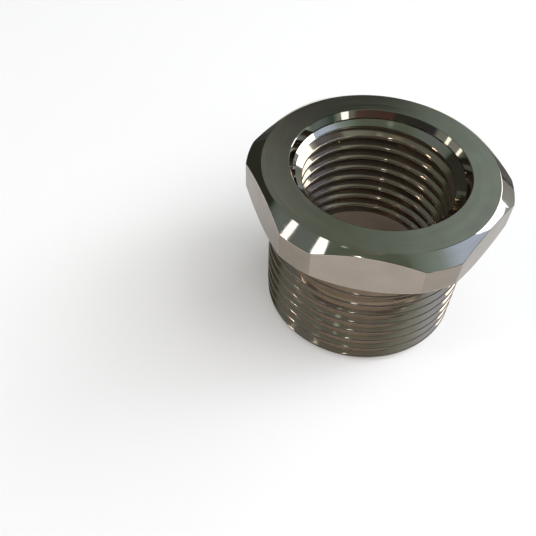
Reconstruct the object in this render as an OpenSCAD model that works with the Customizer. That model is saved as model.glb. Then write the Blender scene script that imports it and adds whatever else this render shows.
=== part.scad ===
// Hexagon reducing bush for pipe work, turned from one piece of brass bar and nickel plated.
// A six sided head stands above a short male pipe thread, and a smaller female pipe thread
// runs down through the middle. It stands on the end of its male thread, as in use or on a
// shelf. The origin is the centre of that end face, and one flat of the head faces -Y.
// The male thread is a row of ring grooves with the pitch, depth and flanks of the real one,
// which climbs one pitch a turn. The female thread is a plain hole at its crest diameter.

/* [Threads] */
// Pitch of both pipe threads, 14 to the inch
thread_pitch = 1.814; // [1.3:0.001:2.3]
// Diameter over the crests of the male thread, three quarter inch pipe size
male_crest_d = 26.3; // [25:0.01:27.6]
// Root diameter of the female thread, half inch pipe size
female_root_d = 20.955; // [19:0.001:21.4]
// Slope of each thread flank, half of the form's 55 degrees
flank_angle = 27.5; // [20:0.5:30]

/* [Hexagon head] */
// Width across the flats
across_flats = 30; // [29.6:0.1:34]
// Height of the head
head_h = 6; // [4:0.1:12]
// How much is turned off each sharp corner of the hexagon, along its radius
corner_cut = 1.12; // [0.4:0.02:1.8]
// Distance from the middle of a flat in to the flat ring on the top face
top_face_inset = 0.65; // [0.2:0.05:1.2]
// Slope of the chamfer round the top face, in degrees
top_chamfer_angle = 33.5; // [20:0.5:45]
// Distance from the middle of a flat in to where the underside starts to rise
under_face_inset = 0.35; // [0.1:0.05:0.7]
// Slope of the chamfer under the corners, in degrees
under_chamfer_angle = 41; // [20:1:50]

/* [Male end] */
// Length of the male end, from the head to the end face
spigot_l = 16.8; // [10:0.1:24]
// Width of the relief groove under the head
relief_w = 1.7; // [0.8:0.1:3]
// Clearance of the relief groove below the thread roots, on the radius
relief_clearance = 0.05; // [0:0.01:0.3]
// Leg of the chamfer on the end of the male thread
end_chamfer = 0.9; // [0.3:0.05:1.4]

/* [Mouth] */
// Clearance of the mouth over the female thread roots, on the radius
mouth_clearance = 0.5; // [0.3:0.05:0.8]
// How much the mouth narrows down to its shoulder, on the radius
mouth_taper = 0.2; // [0.05:0.05:0.25]
// Depth of the mouth down to its shoulder
mouth_depth = 1.3; // [0.6:0.1:2.5]
// Width of the small shoulder in the mouth
shoulder_w = 0.08; // [0.02:0.01:0.2]
// Depth of the tapered lead below the shoulder, down to where the female thread starts
lead_depth = 1.2; // [0.6:0.05:2.5]
// Break of the sharp edge between the top face and the mouth
edge_break = 0.15; // [0.05:0.05:0.3]

/* [Hidden] */
$fn = 96;

// Height of a Whitworth form thread as a share of its pitch
thread_height_share = 0.640327;
thread_height = thread_height_share * thread_pitch;
// Width of the flat left on each male crest as a share of the pitch
crest_flat_share = 0.16;
// How far each cutter runs past the face it opens
overrun = 1;

total_h = spigot_l + head_h;
sharp_corner_d = across_flats / cos(30);
corner_r = sharp_corner_d / 2 - corner_cut;
top_face_r = across_flats / 2 - top_face_inset;
under_face_r = across_flats / 2 - under_face_inset;
top_chamfer_h = (corner_r - top_face_r) * tan(top_chamfer_angle);
under_chamfer_h = (corner_r - under_face_r) * tan(under_chamfer_angle);

male_crest_r = male_crest_d / 2;
male_root_r = male_crest_r - thread_height;
relief_r = male_root_r - relief_clearance;
groove_half_w = thread_pitch * (1 - crest_flat_share) / 2;
root_half_w = groove_half_w - thread_height * tan(flank_angle);
groove_count = floor((spigot_l - relief_w) / thread_pitch);
end_face_r = male_crest_r - end_chamfer;

female_root_r = female_root_d / 2;
female_crest_r = female_root_r - thread_height;
mouth_r = female_root_r + mouth_clearance;
mouth_foot_r = mouth_r - mouth_taper;
shoulder_r = mouth_foot_r - shoulder_w;
shoulder_z = total_h - mouth_depth;
lead_foot_z = shoulder_z - lead_depth;

// Six sided bar that the head is turned from, flats square to the Y axis
module hexagon_bar() {
    cylinder(h = total_h, d = sharp_corner_d, $fn = 6);
}

// Outline that the tool leaves round the head: a chamfer above and below each corner
module turned_head() {
    rotate_extrude()
        polygon([
            [0, spigot_l],
            [under_face_r, spigot_l],
            [corner_r, spigot_l + under_chamfer_h],
            [corner_r, total_h - top_chamfer_h],
            [top_face_r, total_h],
            [0, total_h]
        ]);
}

// Male end at its crest diameter, chamfered at the end and relieved under the head
module male_end() {
    rotate_extrude()
        polygon([
            [0, 0],
            [end_face_r, 0],
            [male_crest_r, end_chamfer],
            [male_crest_r, spigot_l - relief_w],
            [relief_r, spigot_l - relief_w],
            [relief_r, spigot_l + overrun],
            [0, spigot_l + overrun]
        ]);
}

// Ring grooves of the male thread, counted from the relief groove down to the end face
module male_thread_grooves() {
    for (turn = [0 : groove_count - 1])
        translate([0, 0, spigot_l - relief_w - (turn + 1 / 2) * thread_pitch])
            rotate_extrude()
                polygon([
                    [male_root_r, -root_half_w],
                    [male_crest_r, -groove_half_w],
                    [male_crest_r + overrun, -groove_half_w],
                    [male_crest_r + overrun, groove_half_w],
                    [male_crest_r, groove_half_w],
                    [male_root_r, root_half_w]
                ]);
}

// Everything that is bored out: mouth, shoulder, tapered lead and the female thread's hole
module through_bore() {
    rotate_extrude()
        polygon([
            [0, -overrun],
            [female_crest_r, -overrun],
            [female_crest_r, lead_foot_z],
            [female_root_r, lead_foot_z],
            [shoulder_r, shoulder_z],
            [mouth_foot_r, shoulder_z],
            [mouth_r, total_h - edge_break],
            [mouth_r + edge_break, total_h],
            [mouth_r + edge_break, total_h + overrun],
            [0, total_h + overrun]
        ]);
}

// The whole bush, which is a single turned piece
module reducer_body() {
    color("silver")
        difference() {
            union() {
                intersection() {
                    hexagon_bar();
                    turned_head();
                }
                male_end();
            }
            male_thread_grooves();
            through_bore();
        }
}

reducer_body();
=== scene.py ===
import math

import bpy
from mathutils import Matrix, Vector


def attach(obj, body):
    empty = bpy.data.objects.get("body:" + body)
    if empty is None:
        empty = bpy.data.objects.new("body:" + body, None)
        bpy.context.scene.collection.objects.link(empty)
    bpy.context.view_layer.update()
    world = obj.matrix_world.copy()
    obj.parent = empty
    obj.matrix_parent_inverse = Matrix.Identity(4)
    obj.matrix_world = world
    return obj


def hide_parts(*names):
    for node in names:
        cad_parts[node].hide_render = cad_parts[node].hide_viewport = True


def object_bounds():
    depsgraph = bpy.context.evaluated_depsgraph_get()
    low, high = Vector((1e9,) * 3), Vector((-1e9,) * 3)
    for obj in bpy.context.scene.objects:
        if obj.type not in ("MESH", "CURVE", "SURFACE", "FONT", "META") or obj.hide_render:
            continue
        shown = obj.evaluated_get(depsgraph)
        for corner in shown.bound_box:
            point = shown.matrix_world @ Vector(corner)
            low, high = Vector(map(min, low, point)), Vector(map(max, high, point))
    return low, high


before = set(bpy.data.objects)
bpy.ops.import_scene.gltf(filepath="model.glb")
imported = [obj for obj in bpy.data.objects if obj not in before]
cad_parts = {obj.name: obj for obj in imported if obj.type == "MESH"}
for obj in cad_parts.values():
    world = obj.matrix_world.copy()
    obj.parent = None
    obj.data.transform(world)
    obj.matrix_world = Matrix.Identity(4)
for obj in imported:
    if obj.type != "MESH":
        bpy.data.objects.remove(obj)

cadLow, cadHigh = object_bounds()
print("frame loaded, solid's box", tuple(cadLow), tuple(cadHigh))

# the bush is drawn in millimetres round the z axis and brought to metres at the end
perMetre = 1000
sizeMargin = 0.002         # the drawn shape stays this far inside the solid's box
topZ = cadHigh.z * perMetre - sizeMargin
acrossFlats = (cadHigh.y - cadLow.y) * perMetre - 2 * sizeMargin

# the picture is 536 pixels square; the middle of the top face lies at topCentre in it
photoView = {
    "side": 536,
    "sensor": 36,
    "lens": 41.45,
    "middle": (300, 250),         # pixel on the lens axis
    "topCentre": (381.1, 164.2),
    "distance": 0.07506,          # camera to the middle of the top face, metres
    "azimuth": 5.86,
    "elevation": 47.89,
    "roll": 4.79,
}


def placeCamera(view):
    turn, tilt, roll = (math.radians(view[key]) for key in ("azimuth", "elevation", "roll"))
    back = Vector((math.sin(turn) * math.cos(tilt), -math.cos(turn) * math.cos(tilt), math.sin(tilt)))
    level = Vector((0, 0, 1)).cross(back).normalized()
    upright = back.cross(level)
    across = level * math.cos(roll) + upright * math.sin(roll)
    up = upright * math.cos(roll) - level * math.sin(roll)
    focal = view["lens"] / view["sensor"] * view["side"]
    ray = across * (view["topCentre"][0] - view["middle"][0])
    ray -= up * (view["topCentre"][1] - view["middle"][1])
    ray = (ray / focal - back).normalized()
    place = Vector((0, 0, topZ / perMetre)) - ray * view["distance"]
    bpy.ops.object.camera_add()
    camera = bpy.context.object
    camera.name = "photoCamera"
    camera.matrix_world = Matrix.Translation(place) @ Matrix((across, up, back)).transposed().to_4x4()
    camera.data.sensor_width = view["sensor"]
    camera.data.lens = view["lens"]
    camera.data.clip_start = 0.001
    camera.data.shift_x = (view["side"] / 2 - view["middle"][0]) / view["side"]
    camera.data.shift_y = (view["middle"][1] - view["side"] / 2) / view["side"]
    bpy.context.scene.camera = camera


placeCamera(photoView)
print("camera placed")


def deselectAll():
    if bpy.context.object and bpy.context.object.mode != "OBJECT":
        bpy.ops.object.mode_set(mode="OBJECT")
    bpy.ops.object.select_all(action="DESELECT")


def pick(piece):
    deselectAll()
    piece.select_set(True)
    bpy.context.view_layer.objects.active = piece


def editAll(piece):
    pick(piece)
    bpy.ops.object.mode_set(mode="EDIT")
    bpy.ops.mesh.select_mode(type="VERT")
    bpy.ops.mesh.select_all(action="SELECT")


def applyModifier(piece, kind, **settings):
    pick(piece)
    modifier = piece.modifiers.new(kind.lower(), kind)
    for key, value in settings.items():
        setattr(modifier, key, value)
    bpy.ops.object.modifier_apply(modifier=modifier.name)


def carve(piece, tool, operation):
    applyModifier(piece, "BOOLEAN", operation=operation, solver="EXACT", object=tool)
    bpy.data.objects.remove(tool)


def drawOutline(name, points):
    # a plane shrunk to one point, which is extruded from corner to corner and back to the start
    deselectAll()
    bpy.ops.mesh.primitive_plane_add(size=1, location=(0, 0, 0))
    outline = bpy.context.object
    outline.name = name
    editAll(outline)
    bpy.ops.mesh.merge(type="CENTER")
    bpy.ops.transform.translate(value=(points[0][0], 0, points[0][1]))
    for before, after in zip(points, points[1:] + points[:1]):
        step = (after[0] - before[0], 0, after[1] - before[1])
        bpy.ops.mesh.extrude_vertices_move(TRANSFORM_OT_translate={"value": step})
    bpy.ops.mesh.select_all(action="SELECT")
    bpy.ops.mesh.remove_doubles(threshold=lathe["merge"])
    return outline


def closeShell(piece):
    editAll(piece)
    bpy.ops.mesh.remove_doubles(threshold=lathe["merge"])
    bpy.ops.mesh.fill_holes(sides=0)
    bpy.ops.mesh.select_all(action="SELECT")
    bpy.ops.mesh.normals_make_consistent(inside=False)
    bpy.ops.object.mode_set(mode="OBJECT")


def turnOnLathe(name, points):
    turned = drawOutline(name, points)
    editAll(turned)
    bpy.ops.mesh.spin(steps=lathe["steps"], angle=2 * math.pi, center=(0, 0, 0), axis=(0, 0, 1))
    closeShell(turned)
    return turned


lathe = {"steps": 288, "merge": 0.0004, "overrun": 1.0}

pipeThread = {
    "pitch": 1.814,
    "flank": 27.5,          # half of the 55 degree form, degrees
    "heightShare": 0.640327,
    "roundShare": 0.1373,   # radius at crest and root, as a share of the pitch
    "rootSteps": 8,
    "crestSteps": 4,
    "turnSteps": 150,
}


def grooveOutline(form, crestR, landR, outwards):
    # one groove of the thread, open side at landR; a male groove opens outwards, a female one inwards
    pitch = form["pitch"]
    roundR = form["roundShare"] * pitch
    rootR = crestR - outwards * form["heightShare"] * pitch
    widest = 90 - form["flank"]
    landAngle = math.degrees(math.acos(1 - abs(crestR - landR) / roundR))
    side = []
    for step in range(form["crestSteps"] + 1):
        angle = math.radians(landAngle + (widest - landAngle) * step / form["crestSteps"])
        rise = crestR - outwards * roundR * (1 - math.cos(angle))
        side.append((rise, pitch / 2 - roundR * math.sin(angle)))
    root = []
    for step in range(1, form["rootSteps"]):
        angle = math.radians(widest - 2 * widest * step / form["rootSteps"])
        root.append((rootR + outwards * roundR * (1 - math.cos(angle)), roundR * math.sin(angle)))
    flankFoot = rootR + outwards * roundR * (1 - math.cos(math.radians(widest)))
    footHalf = roundR * math.sin(math.radians(widest))
    openR = landR + outwards * lathe["overrun"]
    upper = [(openR, side[0][1])] + side + [(flankFoot, footHalf)] + root
    lower = [(flankFoot, -footHalf)] + [(r, -z) for r, z in reversed(side)] + [(openR, -side[0][1])]
    return upper + lower


def sweepGroove(name, form, points, startZ, endZ, startTurn):
    # the outline climbs one pitch a turn, anticlockwise from above, which is a right hand thread
    groove = drawOutline(name, [(r, z + startZ) for r, z in points])
    bpy.ops.object.mode_set(mode="OBJECT")
    turns = math.ceil((endZ - startZ) / form["pitch"])
    applyModifier(groove, "SCREW", angle=2 * math.pi, screw_offset=form["pitch"], iterations=turns,
                  steps=form["turnSteps"], render_steps=form["turnSteps"], axis="Z")
    closeShell(groove)
    groove.rotation_euler = (0, 0, math.radians(startTurn))
    bpy.ops.object.transform_apply(location=False, rotation=True, scale=False)
    return groove


# the turned blank

maleEnd = {
    "formR": 13.155,        # crest of the full form, which the blank cuts a little short
    "crestR": 13.15,
    "length": 16.8,
    "reliefW": 1.7,
    "reliefClearance": 0.05,
    "endChamfer": 0.9,
    "startTurn": 254,
}

head = {
    "corner": acrossFlats / math.cos(math.radians(30)) / 2 - 1.12 - sizeMargin,
    "topR": acrossFlats / 2 - 0.65,
    "topAngle": 33.5,
    "underR": acrossFlats / 2 - 0.35,
    "underAngle": 41,
    "softEdge": 0.06,
    "sharpFrom": 18,        # degrees between faces, from which an edge is softened
}

femaleThread = {
    "rootR": 10.4775,
    "truncation": 0.01,
    "fullDepth": 14.6,      # below the top face, where the tap starts to run out
    "runOut": 2.6,
    "startTurn": 9,
}

mouth = {
    "clearance": 0.5,
    "taper": 0.45,
    "taperDepth": 0.9,
    "stepDepth": 1.12,      # below the top face, where the thread's own chamfer starts
    "edgeBreak": 0.08,
}

threadHeight = pipeThread["heightShare"] * pipeThread["pitch"]
boreR = femaleThread["rootR"] - threadHeight
mouthR = femaleThread["rootR"] + mouth["clearance"]
mouthFootR = mouthR - mouth["taper"]
stepZ = topZ - mouth["stepDepth"]
threadTopZ = stepZ - (mouthFootR - boreR)
reliefR = maleEnd["crestR"] - threadHeight - maleEnd["reliefClearance"]
reliefZ = maleEnd["length"] - maleEnd["reliefW"]
topDrop = (head["corner"] - head["topR"]) * math.tan(math.radians(head["topAngle"]))
underRise = (head["corner"] - head["underR"]) * math.tan(math.radians(head["underAngle"]))

bush = turnOnLathe("reducerBush", [
    (boreR, sizeMargin),
    (maleEnd["crestR"] - maleEnd["endChamfer"], sizeMargin),
    (maleEnd["crestR"], maleEnd["endChamfer"]),
    (maleEnd["crestR"], reliefZ),
    (reliefR, reliefZ),
    (reliefR, maleEnd["length"]),
    (head["underR"], maleEnd["length"]),
    (head["corner"], maleEnd["length"] + underRise),
    (head["corner"], topZ - topDrop),
    (head["topR"], topZ),
    (mouthR + mouth["edgeBreak"], topZ),
    (mouthR, topZ - mouth["edgeBreak"] / 2),
    (mouthFootR, topZ - mouth["taperDepth"]),
    (mouthFootR, stepZ),
    (boreR, threadTopZ),
])


def hexagonBar(name, width, height):
    deselectAll()
    bpy.ops.mesh.primitive_cylinder_add(vertices=6, radius=width / math.cos(math.radians(30)) / 2,
                                        depth=height, location=(0, 0, height / 2))
    bar = bpy.context.object
    bar.name = name
    bar.rotation_euler = (0, 0, math.radians(30))     # the cylinder starts with a corner on y
    bpy.ops.object.transform_apply(location=True, rotation=True, scale=True)
    editAll(bar)
    bpy.ops.transform.translate(value=(0, 0, -lathe["overrun"]))
    bpy.ops.object.mode_set(mode="OBJECT")
    return bar


carve(bush, hexagonBar("hexagonBar", acrossFlats, topZ + 2 * lathe["overrun"]), "INTERSECT")
print("blank turned and milled,", len(bush.data.polygons), "faces")


def softenHeadEdges(piece, settings):
    editAll(piece)
    bpy.ops.mesh.select_mode(type="EDGE")
    bpy.ops.mesh.select_all(action="DESELECT")
    bpy.ops.mesh.edges_select_sharp(sharpness=math.radians(settings["sharpFrom"]))
    bpy.ops.object.mode_set(mode="OBJECT")
    corners = piece.data.vertices
    for edge in piece.data.edges:
        reach = min(corners[index].co.xy.length for index in edge.vertices)
        edge.select = edge.select and reach > settings["topR"] - settings["softEdge"]
    bpy.ops.object.mode_set(mode="EDIT")
    bpy.ops.mesh.bevel(offset=settings["softEdge"], offset_type="OFFSET", segments=3, affect="EDGES")
    bpy.ops.object.mode_set(mode="OBJECT")


softenHeadEdges(bush, head)
print("head edges softened,", len(bush.data.polygons), "faces")

# the two threads

maleGroove = sweepGroove("maleGroove", pipeThread,
                         grooveOutline(pipeThread, maleEnd["formR"], maleEnd["crestR"], 1),
                         -2 * pipeThread["pitch"], maleEnd["length"] + pipeThread["pitch"],
                         maleEnd["startTurn"])
editAll(maleGroove)
bpy.ops.mesh.bisect(plane_co=(0, 0, maleEnd["length"] - 0.03), plane_no=(0, 0, 1), use_fill=True, clear_outer=True)
bpy.ops.object.mode_set(mode="OBJECT")
carve(bush, maleGroove, "DIFFERENCE")
print("male thread cut,", len(bush.data.polygons), "faces")

tapFoot = topZ - femaleThread["fullDepth"]
tapEnvelope = turnOnLathe("tapEnvelope", [
    (boreR - 0.9, tapFoot - femaleThread["runOut"]),
    (boreR - 0.1, tapFoot - femaleThread["runOut"]),
    (femaleThread["rootR"] + 0.1, tapFoot),
    (femaleThread["rootR"] + 0.1, stepZ),
    (boreR - 0.9, stepZ),
])
femaleGroove = sweepGroove("femaleGroove", pipeThread,
                           grooveOutline(pipeThread, boreR - femaleThread["truncation"], boreR, -1),
                           tapFoot - femaleThread["runOut"] - pipeThread["pitch"], topZ,
                           femaleThread["startTurn"])
carve(femaleGroove, tapEnvelope, "INTERSECT")
carve(bush, femaleGroove, "DIFFERENCE")
print("female thread cut,", len(bush.data.polygons), "faces")

editAll(bush)
bpy.ops.mesh.remove_doubles(threshold=lathe["merge"])
bpy.ops.transform.resize(value=(1 / perMetre,) * 3, center_override=(0, 0, 0))
bpy.ops.object.mode_set(mode="OBJECT")


# finishes

def millimetres(tree):
    # object coordinates in millimetres
    place = tree.nodes.new("ShaderNodeTexCoord")
    scaled = tree.nodes.new("ShaderNodeVectorMath")
    scaled.operation = "SCALE"
    scaled.inputs["Scale"].default_value = perMetre
    tree.links.new(place.outputs["Object"], scaled.inputs[0])
    return scaled.outputs[0]


def newGroup(name, inputs, outputs):
    group = bpy.data.node_groups.new(name, "ShaderNodeTree")
    for label, kind, value in inputs:
        socket = group.interface.new_socket(name=label, in_out="INPUT", socket_type=kind)
        socket.default_value = value
    for label, kind in outputs:
        group.interface.new_socket(name=label, in_out="OUTPUT", socket_type=kind)
    return group, group.nodes.new("NodeGroupInput"), group.nodes.new("NodeGroupOutput")


def mathNode(tree, operation, first, second=None):
    node = tree.nodes.new("ShaderNodeMath")
    node.operation = operation
    for slot, value in enumerate((first, second)):
        if value is None:
            continue
        if isinstance(value, (int, float)):
            node.inputs[slot].default_value = value
        else:
            tree.links.new(value, node.inputs[slot])
    return node.outputs[0]


def turningMarks():
    # fine tool marks that run round the axis, on faces, walls and cones alike
    group, given, made = newGroup(
        "turningMarks",
        [("Fineness", "NodeSocketFloat", 9.0), ("Drift", "NodeSocketFloat", 0.12)],
        [("Marks", "NodeSocketFloat"), ("Bands", "NodeSocketFloat")])
    place = millimetres(group)
    split = group.nodes.new("ShaderNodeSeparateXYZ")
    group.links.new(place, split.inputs[0])
    flat = group.nodes.new("ShaderNodeCombineXYZ")
    group.links.new(split.outputs[0], flat.inputs[0])
    group.links.new(split.outputs[1], flat.inputs[1])
    reach = group.nodes.new("ShaderNodeVectorMath")
    reach.operation = "LENGTH"
    group.links.new(flat.outputs[0], reach.inputs[0])
    for label, share in (("Marks", 1.0), ("Bands", 0.12)):
        fine = mathNode(group, "MULTIPLY", given.outputs["Fineness"], share)
        across = group.nodes.new("ShaderNodeCombineXYZ")
        group.links.new(mathNode(group, "MULTIPLY", reach.outputs["Value"], fine), across.inputs[0])
        group.links.new(mathNode(group, "MULTIPLY", split.outputs[2], fine), across.inputs[1])
        group.links.new(mathNode(group, "MULTIPLY", split.outputs[0], given.outputs["Drift"]), across.inputs[2])
        noise = group.nodes.new("ShaderNodeTexNoise")
        noise.noise_dimensions = "4D"
        noise.inputs["Scale"].default_value = 1.0
        noise.inputs["Detail"].default_value = 3.0
        group.links.new(across.outputs[0], noise.inputs["Vector"])
        group.links.new(mathNode(group, "MULTIPLY", split.outputs[1], given.outputs["Drift"]), noise.inputs["W"])
        group.links.new(noise.outputs["Fac"], made.inputs[label])
    return group


def softMottle():
    # slow unevenness of the plating and of the light polishing
    group, given, made = newGroup(
        "softMottle",
        [("Size", "NodeSocketFloat", 0.35), ("Seed", "NodeSocketFloat", 0.0)],
        [("Mottle", "NodeSocketFloat"), ("Specks", "NodeSocketFloat")])
    place = millimetres(group)
    for label, share, detail in (("Mottle", 1.0, 2.0), ("Specks", 14.0, 1.0)):
        noise = group.nodes.new("ShaderNodeTexNoise")
        noise.noise_dimensions = "4D"
        noise.inputs["Detail"].default_value = detail
        group.links.new(place, noise.inputs["Vector"])
        group.links.new(mathNode(group, "MULTIPLY", given.outputs["Size"], share), noise.inputs["Scale"])
        group.links.new(given.outputs["Seed"], noise.inputs["W"])
        group.links.new(noise.outputs["Fac"], made.inputs[label])
    return group


sharedMarks = {"turning": turningMarks(), "mottle": softMottle()}

plate = {"light": (0.57, 0.525, 0.46), "dull": (0.47, 0.425, 0.37)}


# The shade factor given to a finish scales the plating's colours: painted shade, which makes darker copies of the
# same nickel plating where the faces reflect darker surroundings. grazing below 1 dims the plating's glancing
# reflections, also painted shade.
def platedFinish(name, rough, fineness, markDepth, waveDepth, seed, roughSpread=0.05, paintedShade=(1, 1, 1), metal=1.0,
                 grazing=1.0):
    material = bpy.data.materials.new(name)
    material.use_nodes = True
    tree = material.node_tree
    shader = tree.nodes["Principled BSDF"]
    shader.inputs["Metallic"].default_value = metal
    shader.inputs["Specular Tint"].default_value = (grazing, grazing, grazing, 1)
    marks = tree.nodes.new("ShaderNodeGroup")
    marks.node_tree = sharedMarks["turning"]
    marks.inputs["Fineness"].default_value = fineness
    mottle = tree.nodes.new("ShaderNodeGroup")
    mottle.node_tree = sharedMarks["mottle"]
    mottle.inputs["Seed"].default_value = seed

    tone = tree.nodes.new("ShaderNodeMapRange")
    tone.inputs["From Min"].default_value = 0.3
    tone.inputs["From Max"].default_value = 0.7
    blend = mathNode(tree, "ADD", mathNode(tree, "MULTIPLY", marks.outputs["Bands"], 0.5),
                     mathNode(tree, "MULTIPLY", mottle.outputs["Mottle"], 0.5))
    tree.links.new(blend, tone.inputs["Value"])
    colour = tree.nodes.new("ShaderNodeMix")
    colour.data_type = "RGBA"
    # the shade factor darkens both plating tones: painted shade
    colour.inputs["A"].default_value = (*(part * value for part, value in zip(paintedShade, plate["dull"])), 1)
    colour.inputs["B"].default_value = (*(part * value for part, value in zip(paintedShade, plate["light"])), 1)
    tree.links.new(tone.outputs["Result"], colour.inputs["Factor"])
    tree.links.new(colour.outputs["Result"], shader.inputs["Base Color"])

    gloss = tree.nodes.new("ShaderNodeMapRange")
    gloss.inputs["From Min"].default_value = 0.3
    gloss.inputs["From Max"].default_value = 0.7
    gloss.inputs["To Min"].default_value = rough - roughSpread
    gloss.inputs["To Max"].default_value = rough + roughSpread
    tree.links.new(marks.outputs["Marks"], gloss.inputs["Value"])
    tree.links.new(gloss.outputs["Result"], shader.inputs["Roughness"])

    wave = tree.nodes.new("ShaderNodeBump")
    wave.inputs["Strength"].default_value = 1.0
    wave.inputs["Distance"].default_value = waveDepth
    tree.links.new(mottle.outputs["Mottle"], wave.inputs["Height"])
    groove = tree.nodes.new("ShaderNodeBump")
    groove.inputs["Strength"].default_value = 1.0
    groove.inputs["Distance"].default_value = markDepth
    tree.links.new(marks.outputs["Marks"], groove.inputs["Height"])
    tree.links.new(wave.outputs["Normal"], groove.inputs["Normal"])
    tree.links.new(groove.outputs["Normal"], shader.inputs["Normal"])
    return material


# One nickel plating throughout. The shade factors make darker copies of it on the turned corners, drawn flats and
# both threads: painted shade standing in for the darker floor and room that these faces reflect. grazing on the
# flats dims their glancing reflections, also painted shade, and metal below 1 adds a diffuse share that lifts the
# threads' dark parts.
finishes = [
    platedFinish("turnedFace", 0.2, 8.0, 0.0000025, 0.000003, 1.0),
    platedFinish("polishedChamfer", 0.06, 6.0, 0.0000005, 0.000004, 2.0, 0.02),
    platedFinish("turnedCorner", 0.18, 6.0, 0.0000006, 0.000004, 8.0, 0.03, (0.54, 0.51, 0.485)),
    platedFinish("drawnFlat", 0.2, 4.0, 0.0000006, 0.000006, 3.0, paintedShade=(0.66, 0.63, 0.615), grazing=0.82),
    platedFinish("underHead", 0.25, 6.0, 0.000002, 0.000003, 4.0),
    platedFinish("mouthWall", 0.05, 7.0, 0.0000005, 0.000003, 5.0, 0.02),
    platedFinish("femaleThread", 0.07, 7.0, 0.0000008, 0.000003, 6.0, 0.03, (0.75, 0.68, 0.61), 0.87),
    platedFinish("maleThread", 0.06, 6.0, 0.0000006, 0.000003, 7.0, 0.02, (0.71, 0.65, 0.595), 0.8),
    # the thread crests are darkened most: painted shade, so each crest shows as a dark line as though it reflected
    # something dark
    platedFinish("maleCrest", 0.3, 6.0, 0.000001, 0.000003, 9.0, 0.05, (0.28, 0.25, 0.225), 0.8),
]
for finish in finishes:
    bush.data.materials.append(finish)
finishIndex = {finish.name: index for index, finish in enumerate(finishes)}


def finishFor(face):
    centre = face.center * perMetre
    reach = centre.xy.length
    outwards = face.normal.xy.dot(centre.xy.normalized())
    if reach > head["topR"] - 0.1 or centre.z > maleEnd["length"] - 0.01 and reach > mouthR + 0.05:
        if face.normal.z > 0.97:
            return "turnedFace"
        if face.normal.z < -0.1:
            return "underHead"
        if outwards > 0.995 and abs(face.normal.z) < 0.02 and reach > head["corner"] - 0.05:
            return "turnedCorner"
        return "drawnFlat" if abs(face.normal.z) < 0.02 else "polishedChamfer"
    if reach > (boreR + maleEnd["crestR"]) / 2 + 0.4 and centre.z < maleEnd["length"] + 0.01:
        if centre.z > reliefZ or abs(centre.z) < 0.01:
            return "underHead"
        return "maleCrest" if reach > maleEnd["crestR"] - 0.07 else "maleThread"
    if abs(centre.z) < 0.01:
        return "underHead"
    return "mouthWall" if centre.z > stepZ - 0.1 or outwards > -0.75 and centre.z > threadTopZ else "femaleThread"


for face in bush.data.polygons:
    face.material_index = finishIndex[finishFor(face)]

pick(bush)
bpy.ops.object.shade_smooth_by_angle(angle=math.radians(24))
applyModifier(bush, "WEIGHTED_NORMAL", keep_sharp=True)
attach(bush, "root")
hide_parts("reducer_body")
print("finishes set on", len(bush.data.polygons), "faces")

# floor, room and lamps

studio = {
    "floorSide": 6.0,
    "floorColour": (0.87, 0.86, 0.87),
    # the far floor's colour, seen in reflections only: painted shade
    "farFloor": (0.1, 0.1, 0.1),
    # direction square to an edge of the picture, and where the floor starts and ends to darken in reflections
    # (painted shade)
    "farEdges": [((-0.2756, 0.9613, 0), 0.089, 0.097), ((0.998, -0.07, 0), 0.031, 0.05)],
    "floorGlow": 0.2,       # share of plain white that the floor shows outside the hole
    "holeR": 0.011,
    "roomAbove": (0.135, 0.17, 0.13),
    "roomLevel": (0.34, 0.35, 0.34),
    "backdrop": (0.9, 0.9, 0.9),          # what the camera sees of the room
}


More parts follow.
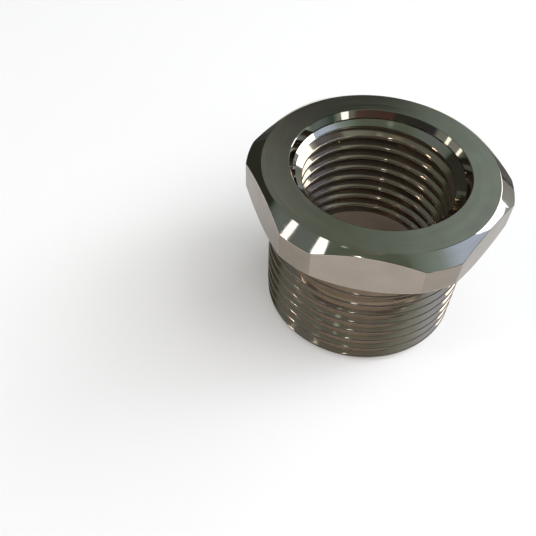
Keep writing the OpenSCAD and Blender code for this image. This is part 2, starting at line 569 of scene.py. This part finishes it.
def layFloor(settings):
    deselectAll()
    bpy.ops.mesh.primitive_plane_add(size=settings["floorSide"], location=(0, 0, 0))
    floor = bpy.context.object
    floor.name = "paleFloor"
    material = bpy.data.materials.new("paleFloor")
    material.use_nodes = True
    tree = material.node_tree
    paint = tree.nodes["Principled BSDF"]
    place = tree.nodes.new("ShaderNodeTexCoord")
    reach = tree.nodes.new("ShaderNodeVectorMath")
    reach.operation = "LENGTH"
    tree.links.new(place.outputs["Object"], reach.inputs[0])
    far = 0.0
    for direction, start, end in settings["farEdges"]:
        away = tree.nodes.new("ShaderNodeVectorMath")
        away.operation = "DOT_PRODUCT"
        away.inputs[1].default_value = direction
        tree.links.new(place.outputs["Object"], away.inputs[0])
        fade = tree.nodes.new("ShaderNodeMapRange")
        fade.interpolation_type = "SMOOTHSTEP"
        fade.inputs["From Min"].default_value = start
        fade.inputs["From Max"].default_value = end
        tree.links.new(away.outputs["Value"], fade.inputs["Value"])
        far = mathNode(tree, "MAXIMUM", far, fade.outputs["Result"])
    # only reflections see the dark of the far floor: painted shade, so the metal reflects it dark while the camera
    # sees the floor pale
    path = tree.nodes.new("ShaderNodeLightPath")
    far = mathNode(tree, "MULTIPLY", far, mathNode(tree, "SUBTRACT", 1.0, path.outputs["Is Camera Ray"]))
    colour = tree.nodes.new("ShaderNodeMix")
    colour.data_type = "RGBA"
    colour.inputs["A"].default_value = (*settings["floorColour"], 1)
    colour.inputs["B"].default_value = (*settings["farFloor"], 1)
    tree.links.new(far, colour.inputs["Factor"])
    tree.links.new(colour.outputs["Result"], paint.inputs["Base Color"])
    paint.inputs["Roughness"].default_value = 0.9
    paint.inputs["Specular IOR Level"].default_value = 0.1
    white = tree.nodes.new("ShaderNodeEmission")
    seen = mathNode(tree, "MAXIMUM", path.outputs["Is Camera Ray"],
                    mathNode(tree, "MAXIMUM", path.outputs["Is Glossy Ray"], path.outputs["Is Transmission Ray"]))
    mix = tree.nodes.new("ShaderNodeMixShader")
    near = mathNode(tree, "SUBTRACT", 1.0, far)
    outside = mathNode(tree, "GREATER_THAN", reach.outputs["Value"], settings["holeR"])
    glow = mathNode(tree, "MULTIPLY", mathNode(tree, "MULTIPLY", near, outside), settings["floorGlow"])
    tree.links.new(mathNode(tree, "MULTIPLY", seen, glow), mix.inputs[0])
    tree.links.new(paint.outputs[0], mix.inputs[1])
    tree.links.new(white.outputs[0], mix.inputs[2])
    tree.links.new(mix.outputs[0], tree.nodes["Material Output"].inputs["Surface"])
    floor.data.materials.append(material)


def towards(azimuth, elevation):
    # 0 is the photo's right, 90 away from its camera, 180 its left
    turn = math.radians(azimuth + photoView["azimuth"])
    rise = math.radians(elevation)
    return Vector((math.cos(turn) * math.cos(rise), math.sin(turn) * math.cos(rise), math.sin(rise)))


roomPatches = [
    # name, azimuth, elevation, full within, gone beyond, colour added
    ("rightWide", 6, 33, 5, 50, (0.23, 0.30, 0.33)),
    ("rightHigh", 6, 33, 4, 28, (0.27, 0.30, 0.56)),
    ("backRight", 59, 38.5, 8, 20, (0.16, 0.20, 0.22)),
    ("backDark", 88, 34, 4.5, 9, (-0.15, -0.19, -0.145)),
    ("backLeft", 105, 42, 10, 14, (0.1, 0.095, 0.105)),
    ("leftHigh", -174, 50, 6, 30, (0.05, 0.055, 0.09)),
    ("leftShade", 136, 17, 15, 34, (-0.4, -0.4, -0.4)),
    ("frontOver", -85, 73, 4, 9, (0.07, 0.02, 0.03)),
    ("overWarm", -142, 84, 3, 5.5, (0.16, 0.1, 0.09)),
    ("overSpot", -40, 82, 1.5, 3, (0.8, 0.9, 1.0)),
    ("frontSpot", -127, 69, 1, 2, (0.5, 0.65, 0.6)),
    ("rightNotch", 22, 52, 9, 15, (-0.4, -0.5, -0.56)),
    ("frontRed", -80, 20, 20, 28, (-0.085, -0.156, -0.13)),
    ("frontNavy", -132, 17, 21, 29, (-0.2, -0.22, -0.17)),
    ("frontSlit", -42, 17, 4, 5.5, (2.0, 2.0, 2.0)),
    ("rightLow", -12, 6, 14, 24, (-0.32, -0.33, -0.345)),
    ("leftSpot", -176, 11, 2, 3, (1.6, 1.7, 1.5)),
    ("leftLowSpot", 164, 5, 2, 3, (1.6, 1.7, 1.5)),
]


def lightRoom(settings, patches):
    world = bpy.data.worlds.new("softRoom")
    bpy.context.scene.world = world
    world.use_nodes = True
    tree = world.node_tree
    sky = tree.nodes["Background"]
    place = tree.nodes.new("ShaderNodeTexCoord")
    split = tree.nodes.new("ShaderNodeSeparateXYZ")
    tree.links.new(place.outputs["Generated"], split.inputs[0])
    rise = tree.nodes.new("ShaderNodeMapRange")
    rise.interpolation_type = "SMOOTHSTEP"
    rise.inputs["From Min"].default_value = 0.0
    rise.inputs["From Max"].default_value = 0.5
    tree.links.new(split.outputs[2], rise.inputs["Value"])
    base = tree.nodes.new("ShaderNodeMix")
    base.data_type = "RGBA"
    base.inputs["A"].default_value = (*settings["roomLevel"], 1)
    base.inputs["B"].default_value = (*settings["roomAbove"], 1)
    tree.links.new(rise.outputs["Result"], base.inputs["Factor"])
    total = base.outputs["Result"]
    for name, azimuth, elevation, full, gone, colour in patches:
        aim = tree.nodes.new("ShaderNodeVectorMath")
        aim.operation = "DOT_PRODUCT"
        aim.inputs[1].default_value = towards(azimuth, elevation)
        tree.links.new(place.outputs["Generated"], aim.inputs[0])
        soft = tree.nodes.new("ShaderNodeMapRange")
        soft.interpolation_type = "SMOOTHSTEP"
        soft.inputs["From Min"].default_value = math.cos(math.radians(gone))
        soft.inputs["From Max"].default_value = math.cos(math.radians(full))
        tree.links.new(aim.outputs["Value"], soft.inputs["Value"])
        tint = tree.nodes.new("ShaderNodeVectorMath")
        tint.operation = "SCALE"
        tint.label = name
        tint.inputs[0].default_value = colour
        tree.links.new(soft.outputs["Result"], tint.inputs["Scale"])
        add = tree.nodes.new("ShaderNodeVectorMath")
        add.operation = "ADD"
        tree.links.new(total, add.inputs[0])
        tree.links.new(tint.outputs[0], add.inputs[1])
        total = add.outputs[0]
    dark = tree.nodes.new("ShaderNodeVectorMath")
    dark.operation = "MAXIMUM"
    dark.inputs[1].default_value = (0.04, 0.043, 0.035)
    tree.links.new(total, dark.inputs[0])
    path = tree.nodes.new("ShaderNodeLightPath")
    shown = tree.nodes.new("ShaderNodeMix")
    shown.data_type = "RGBA"
    shown.inputs["B"].default_value = (*settings["backdrop"], 1)
    tree.links.new(path.outputs["Is Camera Ray"], shown.inputs["Factor"])
    tree.links.new(dark.outputs[0], shown.inputs["A"])
    tree.links.new(shown.outputs["Result"], sky.inputs["Color"])


def hangLamp(name, azimuth, elevation, width, height, radiance, colour=(1, 1, 1), floorOnly=False):
    # width and height are the angles that the lamp fills, seen from the bush
    distance = 0.9
    aim = towards(azimuth, elevation)
    across, upwards = (2 * distance * math.tan(math.radians(angle / 2)) for angle in (width, height))
    deselectAll()
    bpy.ops.object.light_add(type="AREA", location=aim * distance)
    lamp = bpy.context.object
    lamp.name = name
    lamp.rotation_euler = aim.to_track_quat("Z", "Y").to_euler()
    lamp.data.shape = "RECTANGLE" if width != height else "DISK"
    lamp.data.size = across
    lamp.data.size_y = upwards
    area = across * upwards * (1 if width != height else math.pi / 4)
    lamp.data.color = colour
    lamp.data.energy = radiance * math.pi * area
    lamp.visible_glossy = not floorOnly


layFloor(studio)
lightRoom(studio, roomPatches)
hangLamp("windowLamp", 31.5, 25.5, 37, 27, 3.6, (0.97, 1, 1))
hangLamp("chamferLamp", -146, 58.5, 6.5, 6.5, 2.4)
hangLamp("threadLamp", -176, 49, 5, 5, 2.2)
hangLamp("boreLamp", -165, 32.6, 7, 7, 35.0, (1, 0.85, 0.75))
hangLamp("cameraLamp", -101, 52, 4, 4, 35.0, (0.9, 1, 1))
hangLamp("floorKey", -5, 52, 40, 40, 3.5, (1, 0.995, 0.995), True)
hangLamp("floorSide", -62, 50, 36, 36, 2.5, (1, 0.995, 0.995), True)
hangLamp("floorLow", 15, 40, 20, 20, 4.4, (1, 0.995, 0.995), True)
hangLamp("floorFill", 20, 84, 40, 40, 1.3, (1, 0.9, 0.93), True)
bpy.context.scene.view_settings.view_transform = "Standard"
print("floor, room and lamps ready")
